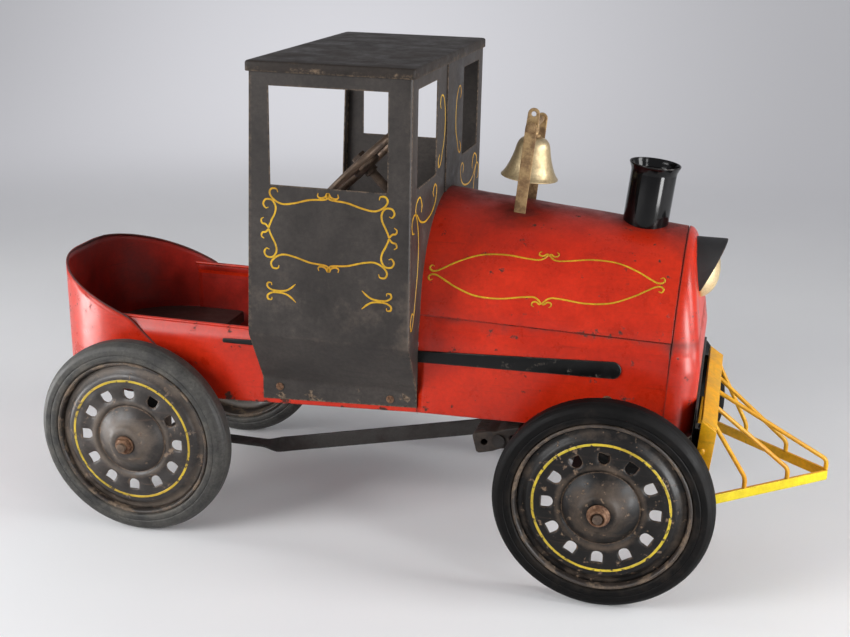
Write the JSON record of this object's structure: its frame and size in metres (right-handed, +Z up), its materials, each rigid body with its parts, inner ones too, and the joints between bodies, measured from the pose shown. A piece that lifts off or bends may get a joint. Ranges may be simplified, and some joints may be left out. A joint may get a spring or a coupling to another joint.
{
  "type": "pedal car",
  "caption": "Child's pedal car shaped like an old steam locomotive: round hood, cab with windows, bell, smokestack, lamp, cowcatcher, disc wheels and pedal drive.",
  "frame": {"origin": "on the ground below the middle of the length and width", "axes": "+X forward to the pilot tip, +Y to the car's left, +Z up"},
  "size_m": [0.999, 0.448, 0.605],
  "materials": {
    "red_paint": "gloss",
    "cab_paint": "satin",
    "black_paint": "gloss",
    "yellow_paint": "gloss",
    "brown_steel": "satin",
    "dark_steel": "satin",
    "brass": "satin",
    "tyre_rubber": "matte",
    "pedal_rubber": "matte",
    "rusty_nut": "matte",
    "wheel_paint": "satin"
  },
  "bodies": {
    "chassis": {"hood_shell": "red_paint", "nose_shell": "red_paint", "body_side_right": "red_paint", "body_side_left": "red_paint", "seat_back": "red_paint", "seat_pan": "brown_steel", "cab_half_right": "cab_paint", "cab_half_left": "cab_paint", "cab_roof": "cab_paint", "cab_screws": "rusty_nut", "dash_panel": "cab_paint", "column_bush": "dark_steel", "smokestack": "black_paint", "headlamp": "brass", "lamp_visor": "black_paint", "bell_bracket": "brown_steel", "pilot_beam": "yellow_paint", "pilot_leg_right": "yellow_paint", "pilot_leg_left": "yellow_paint", "pilot_rail_right": "yellow_paint", "pilot_rail_left": "yellow_paint", "pilot_bars": "yellow_paint", "pilot_bracket": "black_paint", "pilot_rivets": "yellow_paint", "front_axle_beam": "black_paint", "front_hangers": "black_paint", "column_bearing": "black_paint", "rear_hangers": "black_paint", "axle_bushes": "dark_steel", "pedal_shaft": "dark_steel", "shaft_bosses": "dark_steel"},
    "steering": {"steering_wheel": "brown_steel", "steering_column": "dark_steel"},
    "knuckle_right": {"knuckle_right": "dark_steel", "front_nut_right": "rusty_nut"},
    "knuckle_left": {"knuckle_left": "dark_steel", "front_nut_left": "rusty_nut"},
    "tie_rod": {"tie_rod": "dark_steel"},
    "front_wheel_right": {"front_disc_right": "wheel_paint", "front_tyre_right": "tyre_rubber"},
    "front_wheel_left": {"front_disc_left": "wheel_paint", "front_tyre_left": "tyre_rubber"},
    "rear_axle": {"rear_axle": "dark_steel", "rear_disc_right": "wheel_paint", "rear_tyre_right": "tyre_rubber", "rear_nuts": "rusty_nut"},
    "rear_wheel_left": {"rear_disc_left": "wheel_paint", "rear_tyre_left": "tyre_rubber"},
    "drive_rod_right": {"drive_rod_right": "dark_steel"},
    "drive_rod_left": {"drive_rod_left": "dark_steel"},
    "pedal_right": {"pedal_arm_right": "dark_steel"},
    "pedal_left": {"pedal_arm_left": "dark_steel"},
    "pedal_block_right": {"pedal_block_right": "pedal_rubber"},
    "pedal_block_left": {"pedal_block_left": "pedal_rubber"},
    "bell": {"bell": "brass", "bell_yoke": "brass"},
    "clapper": {"bell_clapper": "dark_steel"}
  },
  "joints": [
    {"name": "steer", "type": "hinge", "parent": "chassis", "child": "steering", "pos_m": [-0.0995, 0, 0.461], "axis": [-0.7081, 0, 0.7061], "range_deg": [-12, 12]},
    {"name": "king_right", "type": "hinge", "parent": "chassis", "child": "knuckle_right", "pos_m": [0.2405, -0.15, 0.127], "axis": [0, 0, 1], "range_deg": [-12, 12]},
    {"name": "king_left", "type": "hinge", "parent": "chassis", "child": "knuckle_left", "pos_m": [0.2405, 0.15, 0.127], "axis": [0, 0, 1], "range_deg": [-12, 12]},
    {"name": "tie_pin", "type": "hinge", "parent": "knuckle_right", "child": "tie_rod", "pos_m": [0.1945, -0.15, 0.1029], "axis": [0, 0, 1], "range_deg": [-12, 12]},
    {"name": "front_roll_right", "type": "hinge", "parent": "knuckle_right", "child": "front_wheel_right", "pos_m": [0.2405, -0.181, 0.127], "axis": [0, 1, 0], "continuous": true},
    {"name": "front_roll_left", "type": "hinge", "parent": "knuckle_left", "child": "front_wheel_left", "pos_m": [0.2405, 0.181, 0.127], "axis": [0, 1, 0], "continuous": true},
    {"name": "axle_turn", "type": "hinge", "parent": "chassis", "child": "rear_axle", "pos_m": [-0.3495, 0, 0.127], "axis": [0, 1, 0], "continuous": true},
    {"name": "rear_roll_left", "type": "hinge", "parent": "rear_axle", "child": "rear_wheel_left", "pos_m": [-0.3495, 0.164, 0.127], "axis": [0, 1, 0], "continuous": true},
    {"name": "crank_right", "type": "hinge", "parent": "rear_axle", "child": "drive_rod_right", "pos_m": [-0.3495, -0.06, 0.089], "axis": [0, 1, 0], "continuous": true},
    {"name": "crank_left", "type": "hinge", "parent": "rear_axle", "child": "drive_rod_left", "pos_m": [-0.3495, 0.06, 0.165], "axis": [0, 1, 0], "continuous": true},
    {"name": "pedal_swing_right", "type": "hinge", "parent": "chassis", "child": "pedal_right", "pos_m": [0.1255, -0.0655, 0.2682], "axis": [0, 1, 0], "range_deg": [-19, 19]},
    {"name": "pedal_swing_left", "type": "hinge", "parent": "chassis", "child": "pedal_left", "pos_m": [0.1255, 0.0655, 0.2682], "axis": [0, 1, 0], "range_deg": [-19, 19]},
    {"name": "pedal_tilt_right", "type": "hinge", "parent": "pedal_right", "child": "pedal_block_right", "pos_m": [0.1055, -0.09, 0.158], "axis": [0, 1, 0], "range_deg": [-20, 20]},
    {"name": "pedal_tilt_left", "type": "hinge", "parent": "pedal_left", "child": "pedal_block_left", "pos_m": [0.1055, 0.09, 0.158], "axis": [0, 1, 0], "range_deg": [-20, 20]},
    {"name": "bell_swing", "type": "hinge", "parent": "chassis", "child": "bell", "pos_m": [0.11523, 0, 0.5253], "axis": [0, 1, 0], "range_deg": [-40, 40]},
    {"name": "clapper_swing", "type": "hinge", "parent": "bell", "child": "clapper", "pos_m": [0.1125, 0, 0.49542], "axis": [0, 1, 0], "range_deg": [-20, 20]}
  ],
  "couplings": [
    {"joint": "king_right", "follows": "steer", "ratio": 1},
    {"joint": "king_left", "follows": "steer", "ratio": 1},
    {"joint": "tie_pin", "follows": "steer", "ratio": -1},
    {"joint": "crank_right", "follows": "axle_turn", "ratio": -1},
    {"joint": "crank_left", "follows": "axle_turn", "ratio": -1},
    {"joint": "pedal_swing_left", "follows": "pedal_swing_right", "ratio": -1}
  ]
}
